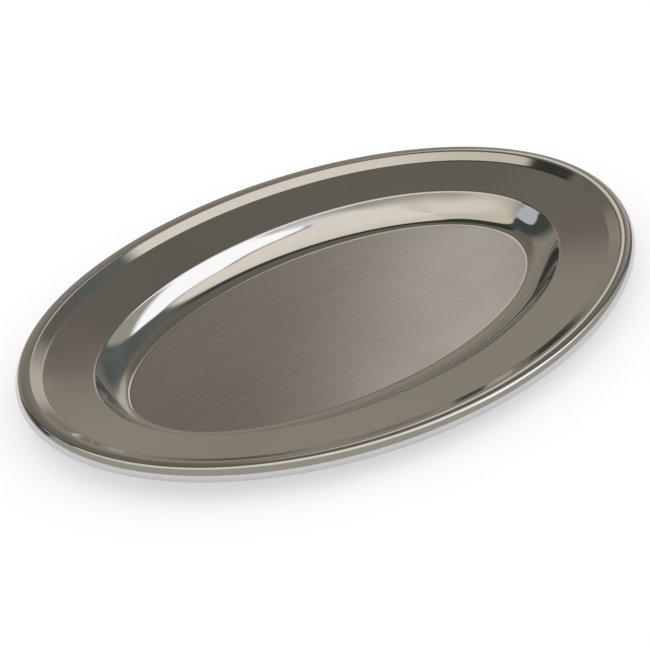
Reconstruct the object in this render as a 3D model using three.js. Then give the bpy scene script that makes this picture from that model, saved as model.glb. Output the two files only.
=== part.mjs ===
// An oval serving tray, pressed from one blank of stainless steel sheet.
// Millimetres, +Z up, +X along the tray. It stands on Z = 0 with its middle on the origin.
import * as THREE from 'three';

// Overall size.
const trayLength = 400;
const trayWidth = 280;
const sheet = 0.7;
const endLift = 3.5; // how much higher the rim stands at the two ends than along the sides
const endReach = 4.2; // how much further the flat floor runs out at the ends than at the sides

// The pressed section, followed on the face that shows, from the flat floor out to the rolled edge.
// Radii and lengths are in millimetres. Slopes are in degrees above the level.
const coveRadius = 32.7;
const coveSlope = 46.5;
const creaseRadius = 1.2;
const flangeSlope = 8;
const flangeLength = 28.5;
const bevelFootRadius = 2;
const bevelSlope = 23;
const bevelLength = 6.6;
const bevelTopRadius = 1;
const crownRadius = 30;
const crownSlope = 5; // the crowned band rises at this slope, levels out and falls at it again
const shoulderRadius = 2.8;
const shoulderSlope = -47;
const skirtRadius = 7.4;
const skirtSlope = -80;
const rollRadius = 4.3;
const rollEndSlope = -290; // past -270 the cut edge is tucked up inside the roll

// How finely curves are cut into flats.
const roundSteps = 80;
const bendTolerance = 0.12; // how far a flat may lie from the true bend

const degrees = Math.PI / 180;

// Draws the section as straights and bends that run into each other without a corner.
// Each stop has its distance out from the flat floor, its height and the slope of the sheet there.
function makePen() {
  const stops = [{ out: 0, up: sheet, slope: 0 }];

  function straight(length) {
    const last = stops[stops.length - 1];
    const slope = last.slope;
    stops.push({
      out: last.out + length * Math.cos(slope * degrees),
      up: last.up + length * Math.sin(slope * degrees),
      slope,
    });
  }

  function bend(radius, endSlope) {
    const start = stops[stops.length - 1];
    const turn = endSlope - start.slope;
    const signedRadius = radius * Math.sign(turn);
    const flatTurn = 2 * Math.acos(1 - bendTolerance / radius) / degrees;
    const flats = Math.ceil(Math.abs(turn) / flatTurn);
    for (let i = 1; i <= flats; i++) {
      const slope = start.slope + (turn * i) / flats;
      const sineGain = Math.sin(slope * degrees) - Math.sin(start.slope * degrees);
      const cosineLoss = Math.cos(start.slope * degrees) - Math.cos(slope * degrees);
      stops.push({
        out: start.out + signedRadius * sineGain,
        up: start.up + signedRadius * cosineLoss,
        slope,
      });
    }
  }

  return { stops, straight, bend };
}

function drawShowFace() {
  const pen = makePen();
  pen.bend(coveRadius, coveSlope);
  pen.bend(creaseRadius, flangeSlope);
  pen.straight(flangeLength);
  pen.bend(bevelFootRadius, bevelSlope);
  pen.straight(bevelLength);
  pen.bend(bevelTopRadius, crownSlope);
  pen.bend(crownRadius, 0);
  pen.bend(crownRadius, -crownSlope);
  pen.bend(shoulderRadius, shoulderSlope);
  pen.bend(skirtRadius, skirtSlope);
  pen.bend(rollRadius, -90);
  pen.bend(rollRadius, rollEndSlope);
  return pen.stops;
}

const showFace = drawShowFace();
const latheRadius = trayWidth / 2;
const floorRadius = latheRadius - Math.max(...showFace.map((stop) => stop.out));
const coveReach = coveRadius * Math.sin(coveSlope * degrees);

// The closed outline of the sheet: along the hidden face to the cut edge, and back on the show face.
function sheetOutline() {
  const hidden = showFace.map((stop) => new THREE.Vector2(
    floorRadius + stop.out + sheet * Math.sin(stop.slope * degrees),
    stop.up - sheet * Math.cos(stop.slope * degrees),
  ));
  const shown = showFace.map((stop) => new THREE.Vector2(floorRadius + stop.out, stop.up));
  return [new THREE.Vector2(0, 0), ...hidden, ...shown.reverse(), new THREE.Vector2(0, sheet)];
}

// The lathe turns a round tray as wide as the oval one. This adds the rest of the length along X,
// the same amount to every ring of the rim and flange, so that they stay ovals of even inset.
// The floor gets a little more, so the cove is steeper at the ends than at the sides.
// The rim and flange also sweep up towards the ends, and that lift dies away down the cove.
function shapeOval(geometry) {
  const addedHalfLength = (trayLength - trayWidth) / 2;
  const position = geometry.attributes.position;
  for (let i = 0; i < position.count; i++) {
    const y = position.getY(i);
    const radius = Math.hypot(position.getX(i), y);
    const upTheCove = THREE.MathUtils.smoothstep(radius, floorRadius, floorRadius + coveReach);
    const addedHere = addedHalfLength + endReach * (1 - upTheCove);
    const x = position.getX(i) * (1 + addedHere / Math.max(radius, floorRadius));
    const lift = endLift * upTheCove * (x / (trayLength / 2)) ** 2;
    position.setXYZ(i, x, y, position.getZ(i) + lift);
  }
  geometry.computeVertexNormals();
}

function pressedTray() {
  const geometry = new THREE.LatheGeometry(sheetOutline(), roundSteps);
  geometry.rotateX(Math.PI / 2);
  shapeOval(geometry);
  const steel = new THREE.MeshStandardMaterial({ color: 0x8c857a, roughness: 0.22, metalness: 1 });
  const mesh = new THREE.Mesh(geometry, steel);
  mesh.name = 'pressed_tray';
  return mesh;
}

const tray = new THREE.Group();
tray.add(pressedTray());

export default tray;
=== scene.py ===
import math

import bmesh
import bpy
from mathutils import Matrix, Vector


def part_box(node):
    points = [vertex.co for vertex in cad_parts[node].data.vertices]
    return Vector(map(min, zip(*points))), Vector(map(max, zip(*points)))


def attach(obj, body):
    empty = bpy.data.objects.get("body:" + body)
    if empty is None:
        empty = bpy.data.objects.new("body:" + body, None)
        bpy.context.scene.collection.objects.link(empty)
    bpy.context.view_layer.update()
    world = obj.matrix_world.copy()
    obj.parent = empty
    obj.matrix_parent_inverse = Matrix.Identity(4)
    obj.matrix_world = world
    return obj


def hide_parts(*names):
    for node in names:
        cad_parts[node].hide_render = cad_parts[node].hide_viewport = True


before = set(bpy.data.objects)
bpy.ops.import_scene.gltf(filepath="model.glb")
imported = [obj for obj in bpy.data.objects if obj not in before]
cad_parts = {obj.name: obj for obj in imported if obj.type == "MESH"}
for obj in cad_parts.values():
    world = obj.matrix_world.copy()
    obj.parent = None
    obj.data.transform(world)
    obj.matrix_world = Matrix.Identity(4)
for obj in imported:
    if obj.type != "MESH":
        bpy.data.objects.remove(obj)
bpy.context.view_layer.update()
scene = bpy.context.scene
scene.view_settings.view_transform = "Standard"
trayLow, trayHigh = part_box("pressed_tray")
print("frame loaded, tray size", [round(v, 4) for v in trayHigh - trayLow])


cameraView = {
    "place": (-0.91245, -1.18082, 0.96036),
    "turn": (57.1648, 3.6449, -39.8415),  # degrees, XYZ
    "lens": 170.552,
    "sensor": 36.0,
    "clipStart": 0.05,
    "clipEnd": 40.0,
}

cameraData = bpy.data.cameras.new("trayCamera")
cameraData.lens = cameraView["lens"]
cameraData.sensor_width = cameraView["sensor"]
cameraData.clip_start = cameraView["clipStart"]
cameraData.clip_end = cameraView["clipEnd"]
camera = bpy.data.objects.new("trayCamera", cameraData)
camera.location = cameraView["place"]
camera.rotation_euler = [math.radians(angle) for angle in cameraView["turn"]]
scene.collection.objects.link(camera)
scene.camera = camera
print("camera set")


def deselectAll():
    if bpy.context.object and bpy.context.object.mode != "OBJECT":
        bpy.ops.object.mode_set(mode="OBJECT")
    bpy.ops.object.select_all(action="DESELECT")


def setInput(node, name, value):
    # wires a socket, or sets the number or colour there
    if isinstance(value, bpy.types.NodeSocket):
        node.id_data.links.new(value, node.inputs[name])
    else:
        node.inputs[name].default_value = value


def doMath(tree, operation, first, second=None, third=None):
    node = tree.nodes.new("ShaderNodeMath")
    node.operation = operation
    setInput(node, 0, first)
    if second is not None:
        setInput(node, 1, second)
    if third is not None:
        setInput(node, 2, third)
    return node.outputs[0]


def fade(tree, value, low, high, atLow=0.0, atHigh=1.0):
    # smooth change from atLow to atHigh while value goes from low to high
    node = tree.nodes.new("ShaderNodeMapRange")
    node.interpolation_type = "SMOOTHSTEP"
    setInput(node, "Value", value)
    setInput(node, "From Min", low)
    setInput(node, "From Max", high)
    setInput(node, "To Min", atLow)
    setInput(node, "To Max", atHigh)
    return node.outputs["Result"]


def band(tree, value, low, high, soft):
    # 1 while value is between low and high, with edges twice soft wide
    rising = fade(tree, value, low - soft, low + soft)
    falling = fade(tree, value, high - soft, high + soft, 1.0, 0.0)
    return doMath(tree, "MULTIPLY", rising, falling)


def mixColor(tree, amount, under, over):
    node = tree.nodes.new("ShaderNodeMix")
    node.data_type = "RGBA"
    setInput(node, 0, amount)
    setInput(node, 6, under)
    setInput(node, 7, over)
    return node.outputs[2]


def noiseOn(tree, coords, pattern):
    scale, stretch, detail, rough = pattern
    mapping = tree.nodes.new("ShaderNodeMapping")
    setInput(mapping, "Vector", coords)
    mapping.inputs["Scale"].default_value = stretch
    noise = tree.nodes.new("ShaderNodeTexNoise")
    setInput(noise, "Vector", mapping.outputs["Vector"])
    noise.inputs["Scale"].default_value = scale
    noise.inputs["Detail"].default_value = detail
    noise.inputs["Roughness"].default_value = rough
    return noise.outputs["Fac"]


# the tray is one pressed sheet with a rolled edge, in metres and degrees above the level
trayShape = {
    "sheet": 0.0007,
    "endLift": 0.00349,  # rim is this much higher at the two ends
    "endReach": 0.0042,  # flat floor runs out this much further at the ends
    "coveRadius": 0.03141, "coveSlope": 46.5,
    "creaseRadius": 0.0024, "flangeSlope": 8.0, "flangeLength": 0.028416,
    "bevelFootRadius": 0.0045, "bevelSlope": 23.0, "bevelLength": 0.006258,
    "bevelTopRadius": 0.001, "crownRadius": 0.03, "crownSlope": 5.0,
    "shoulderRadius": 0.0028, "shoulderSlope": -47.0,
    "skirtRadius": 0.0074, "skirtSlope": -80.0,
    "rollRadius": 0.0043, "rollEndSlope": -290.0,
    "holdingLoop": 0.0004,  # extra ring this far inside each flat, so it shades flat
    "flangePieces": 5, "bevelPieces": 2,
    "floorRings": 9,
    "pointsRound": 320,
}
# degrees that each ring of a bend turns, at most
bendSteps = {
    "cove": 2.2, "crease": 2.6, "bevelFoot": 3.0, "bevelTop": 5.0,
    "crown": 2.0, "shoulder": 5.0, "skirt": 4.0, "roll": 7.0,
}


def followSection(shape, steps):
    # walks the shown face from the flat floor out to the cut edge in the roll
    stops = [(0.0, shape["sheet"], 0.0)]  # distance out, height, slope

    def straight(length):
        out, up, slope = stops[-1]
        angle = math.radians(slope)
        stops.append((out + length * math.cos(angle), up + length * math.sin(angle), slope))

    def flat(length, pieces):
        hold = shape["holdingLoop"]
        straight(hold)
        for _ in range(pieces):
            straight((length - 2 * hold) / pieces)
        straight(hold)

    def bend(radius, endSlope, step):
        out, up, slope = stops[-1]
        turn = endSlope - slope
        signed = math.copysign(radius, turn)
        count = max(2, math.ceil(abs(turn) / step))
        start = math.radians(slope)
        for i in range(1, count + 1):
            now = math.radians(slope + turn * i / count)
            stops.append((
                out + signed * (math.sin(now) - math.sin(start)),
                up + signed * (math.cos(start) - math.cos(now)),
                slope + turn * i / count,
            ))

    bend(shape["coveRadius"], shape["coveSlope"], steps["cove"])
    bend(shape["creaseRadius"], shape["flangeSlope"], steps["crease"])
    flat(shape["flangeLength"], shape["flangePieces"])
    bend(shape["bevelFootRadius"], shape["bevelSlope"], steps["bevelFoot"])
    flat(shape["bevelLength"], shape["bevelPieces"])
    bend(shape["bevelTopRadius"], shape["crownSlope"], steps["bevelTop"])
    bend(shape["crownRadius"], -shape["crownSlope"], steps["crown"])
    bend(shape["shoulderRadius"], shape["shoulderSlope"], steps["shoulder"])
    bend(shape["skirtRadius"], shape["skirtSlope"], steps["skirt"])
    bend(shape["rollRadius"], shape["rollEndSlope"], steps["roll"])
    return stops


def smoothStep(value, low, high):
    part = min(1.0, max(0.0, (value - low) / (high - low)))
    return part * part * (3 - 2 * part)


def ringRadius(x, y, ovalAt, halfWidth):
    # finds the ring through a point, by halving: the half width of its oval
    halvings, nothing = 26, 1e-9
    if math.hypot(x, y) < nothing:
        return 0.0
    low, high = 0.0, halfWidth
    for _ in range(halvings):
        middle = (low + high) / 2
        wide, deep = ovalAt(middle)
        inside = (x / wide) ** 2 + (y / max(deep, nothing)) ** 2 < 1
        low, high = (low, middle) if inside else (middle, high)
    return (low + high) / 2


def extrudeRings(rings, pointsRound):
    # a filled oval, whose open edge is pulled out ring by ring: half length, half width, height
    first = rings[0]
    bpy.ops.mesh.primitive_circle_add(
        vertices=pointsRound, radius=1.0, fill_type="TRIFAN", location=(0, 0, first[2])
    )
    tray = bpy.context.object
    tray.name = "trayPressing"
    bpy.ops.object.transform_apply(location=True, rotation=True, scale=True)
    bpy.ops.object.mode_set(mode="EDIT")
    bpy.ops.mesh.select_all(action="SELECT")
    bpy.ops.transform.resize(value=(first[0], first[1], 1), center_override=(0, 0, 0))
    bpy.ops.mesh.select_all(action="DESELECT")
    bpy.ops.mesh.select_mode(type="EDGE")
    bpy.ops.mesh.select_non_manifold()  # the open outer ring
    for before, after in zip(rings, rings[1:]):
        bpy.ops.mesh.extrude_region_move(
            TRANSFORM_OT_translate={"value": (0, 0, after[2] - before[2])}
        )
        bpy.ops.transform.resize(
            value=(after[0] / before[0], after[1] / before[1], 1), center_override=(0, 0, 0)
        )
    bpy.ops.mesh.select_mode(type="VERT")
    bpy.ops.mesh.select_all(action="SELECT")
    bpy.ops.mesh.normals_make_consistent(inside=False)
    mesh = bmesh.from_edit_mesh(tray.data)
    middle = min(mesh.faces, key=lambda face: face.calc_center_median().length)
    if middle.normal.z < 0:
        bpy.ops.mesh.flip_normals()
    return tray


def pressTray(shape, steps, low, high):
    stops = followSection(shape, steps)
    halfLength = (high.x - low.x) / 2
    halfWidth = (high.y - low.y) / 2
    added = halfLength - halfWidth
    floorRadius = halfWidth - max(stop[0] for stop in stops)
    coveReach = shape["coveRadius"] * math.sin(math.radians(shape["coveSlope"]))

    def ovalAt(radius):
        up = smoothStep(radius, floorRadius, floorRadius + coveReach)
        return radius + added + shape["endReach"] * (1 - up), radius

    floorOval = ovalAt(floorRadius)
    rings = []
    for i in range(1, shape["floorRings"] + 1):
        part = i / (shape["floorRings"] + 1)
        rings.append((floorOval[0] * part, floorOval[1] * part, shape["sheet"]))
    inset = shape["holdingLoop"]
    rings.append((floorOval[0] - inset, floorOval[1] - inset, shape["sheet"]))
    for out, up, _ in stops:
        rings.append((*ovalAt(floorRadius + out), up))

    deselectAll()
    tray = extrudeRings(rings, shape["pointsRound"])

    # the rim and flange sweep up to the ends, and the lift dies away down the cove
    mesh = bmesh.from_edit_mesh(tray.data)
    for vert in mesh.verts:
        radius = ringRadius(vert.co.x, vert.co.y, ovalAt, halfWidth)
        lift = smoothStep(radius, floorRadius, floorRadius + coveReach)
        vert.co.z += shape["endLift"] * lift * (vert.co.x / halfLength) ** 2

    # a strip map round the tray, so that polishing lines can follow the rim
    strip = mesh.loops.layers.uv.new("aroundTray")
    for face in mesh.faces:
        turns = []
        for loop in face.loops:
            x, y = loop.vert.co.x, loop.vert.co.y
            radius = ringRadius(x, y, ovalAt, halfWidth)
            wide, deep = ovalAt(radius) if radius > floorRadius else floorOval
            turns.append((math.atan2(y / deep, x / wide) / math.tau, radius))
        if max(turn[0] for turn in turns) - min(turn[0] for turn in turns) > 0.5:
            turns = [(turn + 1 if turn < 0 else turn, radius) for turn, radius in turns]
        for loop, (turn, radius) in zip(face.loops, turns):
            loop[strip].uv = (turn, radius)
    bmesh.update_edit_mesh(tray.data)
    bpy.ops.object.mode_set(mode="OBJECT")

    wall = tray.modifiers.new("sheet", "SOLIDIFY")
    wall.thickness = shape["sheet"]
    wall.offset = -1.0
    wall.use_even_offset = True
    wall.use_rim = True
    bpy.ops.object.modifier_apply(modifier=wall.name)
    bpy.ops.object.shade_smooth()
    return tray, floorOval


tray, floorOval = pressTray(trayShape, bendSteps, trayLow, trayHigh)
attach(tray, "root")
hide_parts("pressed_tray")
print("tray pressed,", len(tray.data.polygons), "faces")


# stainless steel: brushed floor, polished cove, flange and rim
steelLook = {
    "tint": (0.56, 0.562, 0.564),
    "satinEdge": 1.0,  # share of the flat floor that is brushed
    "satinBlend": 0.004,
    # roughness, and how much of it each pattern adds
    "satinRough": 0.155, "cloudRough": 0.1, "strokeRough": 0.08,
    "polishedRough": 0.05, "smearRough": 0.05, "speckRough": 0.08,
    # the tint is multiplied by these in the dark and light strokes, and smears go part way to dull
    "dull": (0.86, 0.86, 0.85), "bright": (1.06, 1.06, 1.06), "smearDull": 0.3,
    "strokeTone": (0.55, 1.15),
    "coarseShare": 0.7,
    "grainHeight": 0.0000016,  # metres
    "buffingHeight": 0.0000002,
    # patterns: scale, stretch, detail, roughness of the noise
    "fineGrain": (1.0, (40, 5200, 0), 3.0, 0.6),
    "coarseGrain": (1.0, (14, 900, 0), 4.0, 0.65),
    "buffing": (1.0, (60, 2600, 0), 3.0, 0.6),
    "cloud": (9.0, (1, 1.6, 1), 3.0, 0.5),
    "smear": (38.0, (1, 0.6, 1), 4.0, 0.6),
    "specks": (900.0, (1, 1, 1), 2.0, 0.5),
    "speckCut": (0.66, 0.74),
}


def satinMask(tree, place, look, oval):
    # 1 on the brushed oval of the floor, 0 on everything that is polished
    scaled = tree.nodes.new("ShaderNodeVectorMath")
    scaled.operation = "MULTIPLY"
    setInput(scaled, 0, place)
    scaled.inputs[1].default_value = (1 / oval[0], 1 / oval[1], 0)
    reach = tree.nodes.new("ShaderNodeVectorMath")
    reach.operation = "LENGTH"
    setInput(reach, 0, scaled.outputs[0])
    edge, blend = look["satinEdge"], look["satinBlend"]
    return fade(tree, reach.outputs["Value"], edge + blend, edge - blend)


def makeSteel(look, oval):
    material = bpy.data.materials.new("brushedAndPolishedSteel")
    material.use_nodes = True
    tree = material.node_tree
    tree.nodes.clear()
    output = tree.nodes.new("ShaderNodeOutputMaterial")
    steel = tree.nodes.new("ShaderNodeBsdfPrincipled")
    tree.links.new(steel.outputs["BSDF"], output.inputs["Surface"])
    steel.inputs["Metallic"].default_value = 1.0
    place = tree.nodes.new("ShaderNodeTexCoord").outputs["Object"]
    strip = tree.nodes.new("ShaderNodeUVMap")
    strip.uv_map = "aroundTray"
    satin = satinMask(tree, place, look, oval)

    # brush strokes run along the tray, polishing marks run round the rim
    fineGrain = noiseOn(tree, place, look["fineGrain"])
    coarseGrain = noiseOn(tree, place, look["coarseGrain"])
    grain = doMath(tree, "MULTIPLY_ADD", coarseGrain, look["coarseShare"], fineGrain)
    buffing = noiseOn(tree, strip.outputs["UV"], look["buffing"])
    # slow changes from handling, and tiny dull specks
    cloud = noiseOn(tree, place, look["cloud"])
    smear = noiseOn(tree, place, look["smear"])
    specks = fade(tree, noiseOn(tree, place, look["specks"]), *look["speckCut"])

    # noise has a mean of one half, so half of what it adds is taken off first
    satinStart = look["satinRough"] - (look["cloudRough"] + look["strokeRough"]) / 2
    satinRough = doMath(tree, "MULTIPLY_ADD", cloud, look["cloudRough"], satinStart)
    satinRough = doMath(tree, "MULTIPLY_ADD", coarseGrain, look["strokeRough"], satinRough)
    polishedStart = look["polishedRough"] - look["smearRough"] / 2
    polishedRough = doMath(tree, "MULTIPLY_ADD", smear, look["smearRough"], polishedStart)
    polishedRough = doMath(tree, "MULTIPLY_ADD", specks, look["speckRough"], polishedRough)
    rough = tree.nodes.new("ShaderNodeMix")
    setInput(rough, 0, satin)
    setInput(rough, 2, polishedRough)
    setInput(rough, 3, satinRough)
    setInput(steel, "Roughness", rough.outputs[0])

    plain = (*look["tint"], 1)
    dull = (*(tint * part for tint, part in zip(look["tint"], look["dull"])), 1)
    bright = (*(tint * part for tint, part in zip(look["tint"], look["bright"])), 1)
    brushed = mixColor(tree, fade(tree, grain, *look["strokeTone"]), dull, bright)
    polished = mixColor(tree, doMath(tree, "MULTIPLY", smear, look["smearDull"]), plain, dull)
    setInput(steel, "Base Color", mixColor(tree, satin, polished, brushed))

    brushedHeight = doMath(tree, "MULTIPLY", grain, satin)
    brushedHeight = doMath(tree, "MULTIPLY", brushedHeight, look["grainHeight"])
    buffedHeight = doMath(tree, "MULTIPLY", buffing, doMath(tree, "SUBTRACT", 1.0, satin))
    buffedHeight = doMath(tree, "MULTIPLY", buffedHeight, look["buffingHeight"])
    bump = tree.nodes.new("ShaderNodeBump")
    setInput(bump, "Height", doMath(tree, "ADD", brushedHeight, buffedHeight))
    bump.inputs["Distance"].default_value = 1.0
    bump.inputs["Strength"].default_value = 1.0
    setInput(steel, "Normal", bump.outputs["Normal"])
    return material


tray.data.materials.clear()
tray.data.materials.append(makeSteel(steelLook, floorOval))
print("steel made")


floorLook = {
    "size": 30.0,
    "gap": 0.00005,  # the tray stands this far above it, so the two don't share a plane
    "color": (0.42, 0.42, 0.42),
    "rough": 0.85,
    "glow": 0.5,  # keeps the floor near white and the shadow faint
}

deselectAll()
bpy.ops.mesh.primitive_plane_add(size=floorLook["size"], location=(0, 0, -floorLook["gap"]))
floor = bpy.context.object
floor.name = "paleFloor"
bpy.ops.object.transform_apply(location=True, rotation=True, scale=True)
floorMaterial = bpy.data.materials.new("paleFloorPaint")
floorMaterial.use_nodes = True
floorShader = floorMaterial.node_tree.nodes["Principled BSDF"]
floorShader.inputs["Base Color"].default_value = (*floorLook["color"], 1)
floorShader.inputs["Roughness"].default_value = floorLook["rough"]
floorShader.inputs["Specular IOR Level"].default_value = 0.0
floorShader.inputs["Emission Color"].default_value = (1, 1, 1, 1)
floorShader.inputs["Emission Strength"].default_value = floorLook["glow"]
floor.data.materials.append(floorMaterial)
print("floor laid")


# A soft studio stands far round the tray, and mostly shows in the polished steel.
# Compass angles are 0 towards +Y and 90 towards +X, height angles 0 on the level and 90 overhead.
# Colours are as seen in the steel, 0 to 255. A pair of angles fades in from the first to the
# second, and three are a band: from, to, softness of its edges.
roomLight = {
    "matt": 1.22,  # even light on matt things
    "camera": 1.0,  # plain white behind the tray
    "cameraSide": (146, 142, 132),  # the room past the backdrop's two ends
}
domeLook = {
    "color": (214, 206, 194),
    "colorRight": (-10, 100), "colorBehind": (-150, -178),
    "sideColor": (190, 182, 167),
    "backColor": (208, 200, 188), "back": (-150, -70, 22),
    "hazeColor": (205, 206, 208),  # cool and low, past the softbox
    "hazeStart": (132, 146), "hazeEnd": (179, 164), "hazeTop": (68, 54),
    "edgeSoft": 1.5, "edgeSofter": 8.5,  # over the backdrop, and over the camera side
    # height where the dome starts, by compass angle
    "edge": [(-180, 62), (-120, 60), (-92, 50), (-60, 41), (-45, 44), (-30, 51), (-15, 59),
             (0, 65), (14, 70), (26, 71), (34, 69), (42, 62), (50, 57), (64, 54), (80, 51),
             (92, 48), (150, 48), (165, 54), (180, 62)],
}
backdropLook = {
    "span": (-42, 90, 2),
    # colour by height, from the floor up to the dome
    "colors": [(-20, (108, 101, 91)), (0, (112, 106, 96)), (18, (127, 121, 110)),
               (27, (127, 120, 109)), (30, (121, 114, 104)), (32.3, (109, 102, 92)),
               (34, (101, 94, 84)), (41, (97, 93, 84)), (49, (97, 94, 85)),
               (51.5, (50, 53, 48)), (70, (45, 49, 41))],
    # darker and greener at both ends, above the floor
    "leftColor": (60, 66, 62), "rightColor": (82, 88, 84), "leftToRight": (20, 60),
    "leftEnd": (0, -14), "rightEnd": (59, 73), "endsAbove": (2, 14),
    # the cloth's folds drift its tone
    "folds": (5.0, (1, 1, 0.6), 3.0, 0.5), "foldCut": (0.3, 0.7), "foldTone": (0.9, 1.1),
}
lampLook = {
    "color": (200, 192, 181),
    "pivot": 33.0, "lean": 0.6,  # its left edge leans by this much for each degree of height
    "left": (37.6, 39.8), "right": (43.0, 42.0), "heights": (29.5, 36, 1),
}
streakLook = {
    "color": (166, 158, 148),
    "left": (43, 51), "right": (66, 58), "heights": (11, 35, 4),
}
darkCornerLook = {"color": (52, 55, 50), "span": (17, 33, 2), "heights": (-14, 5.5, 2)}
softboxLook = {
    "color": (250, 250, 251), "rimColor": (160, 157, 152),
    "left": (89, 91), "right": (151, 144), "bottom": (32, 37),
    "pivot": 55.0, "lean": -0.4,
    "topSoft": (0.0, 1.4), "rim": (-1.6, 0.4, 0.5),  # degrees below its top
    # height of its top, by compass angle
    "top": [(-180, 20), (86, 44), (94, 49), (102, 57), (117, 59), (130, 61.5), (142, 61.5),
            (150, 59), (158, 57), (180, 20)],
}
paleSpotLook = {
    "color": (170, 173, 177),
    "compass": -36.0, "height": 34.0, "wide": 12.0, "high": 5.5,
    "edge": (1.1, 0.9),
}


def linear(value):
    # a 0 to 255 screen value as light
    value = value / 255.0
    return value / 12.92 if value <= 0.04045 else ((value + 0.055) / 1.055) ** 2.4


def seenInSteel(color):
    return (*(linear(value) / tint for value, tint in zip(color, steelLook["tint"])), 1)


def paint(tree, amount, under, color):
    return mixColor(tree, amount, under, seenInSteel(color))


def multiply(tree, *factors):
    result = factors[0]
    for factor in factors[1:]:
        result = doMath(tree, "MULTIPLY", result, factor)
    return result


def rampBy(tree, value, low, high, stops):
    # a colour ramp over value, with stops given as (value, linear colour)
    place = doMath(tree, "DIVIDE", doMath(tree, "SUBTRACT", value, low), high - low)
    node = tree.nodes.new("ShaderNodeValToRGB")
    setInput(node, "Fac", place)
    ramp = node.color_ramp
    ramp.interpolation = "LINEAR"
    while len(ramp.elements) > 1:
        ramp.elements.remove(ramp.elements[-1])
    ramp.elements[0].position = (stops[0][0] - low) / (high - low)
    ramp.elements[0].color = stops[0][1]
    for at, color in stops[1:]:
        element = ramp.elements.new((at - low) / (high - low))
        element.color = color
    return node.outputs["Color"]


def heightBy(tree, compass, stops):
    # a height angle that follows the compass angle
    greys = [(at, (up / 90, up / 90, up / 90, 1)) for at, up in stops]
    return doMath(tree, "MULTIPLY", rampBy(tree, compass, -180, 180, greys), 90)


def lean(tree, compass, height, look):
    # the compass angle, shifted with height so that an upright edge leans
    above = doMath(tree, "SUBTRACT", height, look["pivot"])
    return doMath(tree, "MULTIPLY_ADD", above, look["lean"], compass)


def makeDome(tree, compass, height, look):
    own = doMath(tree, "ADD", fade(tree, compass, *look["colorRight"]),
                 fade(tree, compass, *look["colorBehind"]))
    dome = mixColor(tree, own, seenInSteel(look["sideColor"]), seenInSteel(look["color"]))
    dome = paint(tree, band(tree, compass, *look["back"]), dome, look["backColor"])
    haze = multiply(tree, fade(tree, compass, *look["hazeStart"]),
                    fade(tree, compass, *look["hazeEnd"]), fade(tree, height, *look["hazeTop"]))
    return paint(tree, haze, dome, look["hazeColor"])


def makeBackdrop(tree, compass, height, direction, look):
    colors = [(at, seenInSteel(color)) for at, color in look["colors"]]
    cloth = rampBy(tree, height, -90, 90, colors)
    ends = doMath(tree, "ADD", fade(tree, compass, *look["leftEnd"]),
                  fade(tree, compass, *look["rightEnd"]))
    ends = multiply(tree, ends, fade(tree, height, *look["endsAbove"]))
    greens = mixColor(tree, fade(tree, compass, *look["leftToRight"]),
                      seenInSteel(look["leftColor"]), seenInSteel(look["rightColor"]))
    cloth = mixColor(tree, ends, cloth, greens)

    leaning = lean(tree, compass, height, lampLook)
    lamp = multiply(tree, fade(tree, leaning, *lampLook["left"]),
                    fade(tree, compass, *lampLook["right"]),
                    band(tree, height, *lampLook["heights"]))
    cloth = paint(tree, lamp, cloth, lampLook["color"])
    streak = multiply(tree, fade(tree, compass, *streakLook["left"]),
                      fade(tree, compass, *streakLook["right"]),
                      band(tree, height, *streakLook["heights"]))
    cloth = paint(tree, streak, cloth, streakLook["color"])
    corner = multiply(tree, band(tree, compass, *darkCornerLook["span"]),
                      band(tree, height, *darkCornerLook["heights"]))
    cloth = paint(tree, corner, cloth, darkCornerLook["color"])

    folds = noiseOn(tree, direction, look["folds"])
    drift = tree.nodes.new("ShaderNodeVectorMath")
    drift.operation = "SCALE"
    setInput(drift, 0, cloth)
    setInput(drift, "Scale", fade(tree, folds, *look["foldCut"], *look["foldTone"]))
    return drift.outputs[0]


def addSoftbox(tree, compass, height, room, look):
    belowTop = doMath(tree, "SUBTRACT", heightBy(tree, compass, look["top"]), height)
    leaning = lean(tree, compass, height, look)
    ends = multiply(tree, fade(tree, compass, *look["left"]),
                    fade(tree, leaning, *look["right"]), fade(tree, height, *look["bottom"]))
    rim = multiply(tree, ends, band(tree, belowTop, *look["rim"]))
    room = paint(tree, rim, room, look["rimColor"])
    face = multiply(tree, ends, fade(tree, belowTop, *look["topSoft"]))
    return paint(tree, face, room, look["color"])


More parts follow.
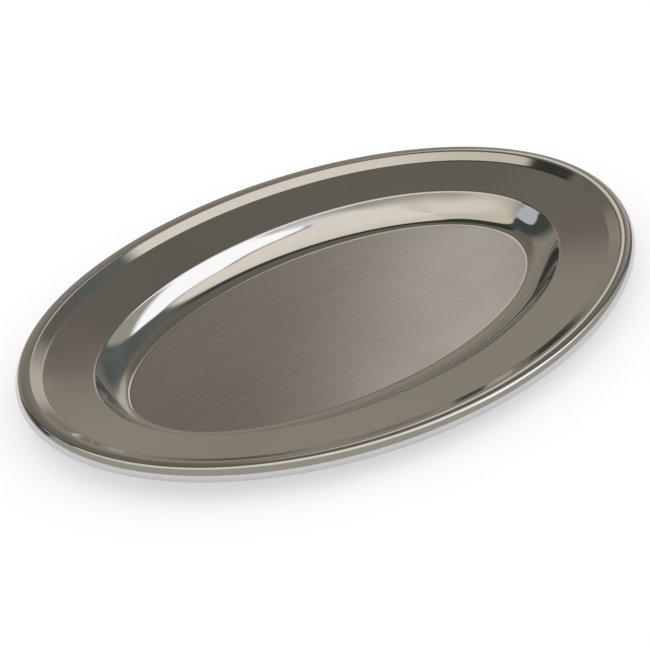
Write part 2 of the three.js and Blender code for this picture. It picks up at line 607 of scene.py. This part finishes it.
def addPaleSpot(tree, compass, height, room, look):
    # a small slanted ellipse at the left end of the backdrop
    across = doMath(tree, "SUBTRACT", compass, look["compass"])
    across = doMath(tree, "DIVIDE", across, look["wide"])
    along = doMath(tree, "SUBTRACT", height, look["height"])
    along = doMath(tree, "ADD", doMath(tree, "DIVIDE", along, look["high"]), across)
    squares = doMath(tree, "MULTIPLY_ADD", across, across, multiply(tree, along, along))
    spot = fade(tree, doMath(tree, "SQRT", squares), *look["edge"])
    return paint(tree, spot, room, look["color"])


def makeStudio(light):
    world = bpy.data.worlds.new("softStudio")
    scene.world = world
    world.use_nodes = True
    world.cycles.sampling_method = "NONE"
    tree = world.node_tree
    tree.nodes.clear()
    output = tree.nodes.new("ShaderNodeOutputWorld")
    emit = tree.nodes.new("ShaderNodeBackground")
    tree.links.new(emit.outputs["Background"], output.inputs["Surface"])
    direction = tree.nodes.new("ShaderNodeTexCoord").outputs["Generated"]
    split = tree.nodes.new("ShaderNodeSeparateXYZ")
    setInput(split, "Vector", direction)
    x, y, z = split.outputs
    height = doMath(tree, "DEGREES", doMath(tree, "ARCSINE", z))
    compass = doMath(tree, "DEGREES", doMath(tree, "ARCTAN2", x, y))

    dome = makeDome(tree, compass, height, domeLook)
    cloth = makeBackdrop(tree, compass, height, direction, backdropLook)
    inside = band(tree, compass, *backdropLook["span"])
    room = mixColor(tree, inside, seenInSteel(light["cameraSide"]), cloth)

    # the dome's edge is crisp over the backdrop and soft over the camera side
    sharper = domeLook["edgeSoft"] - domeLook["edgeSofter"]
    soft = doMath(tree, "MULTIPLY_ADD", inside, sharper, domeLook["edgeSofter"])
    overEdge = doMath(tree, "SUBTRACT", height, heightBy(tree, compass, domeLook["edge"]))
    inDome = fade(tree, overEdge, doMath(tree, "MULTIPLY", soft, -1.0), soft)
    room = mixColor(tree, inDome, room, dome)
    room = addSoftbox(tree, compass, height, room, softboxLook)
    room = addPaleSpot(tree, compass, height, room, paleSpotLook)

    # only gloss shows the studio: matt things get an even pale light, and the camera sees white
    path = tree.nodes.new("ShaderNodeLightPath")
    even = (light["matt"], light["matt"], light["matt"], 1)
    white = (light["camera"], light["camera"], light["camera"], 1)
    shown = mixColor(tree, path.outputs["Is Glossy Ray"], even, room)
    shown = mixColor(tree, path.outputs["Is Camera Ray"], shown, white)
    setInput(emit, "Color", shown)
    emit.inputs["Strength"].default_value = 1.0


makeStudio(roomLight)
print("studio made")
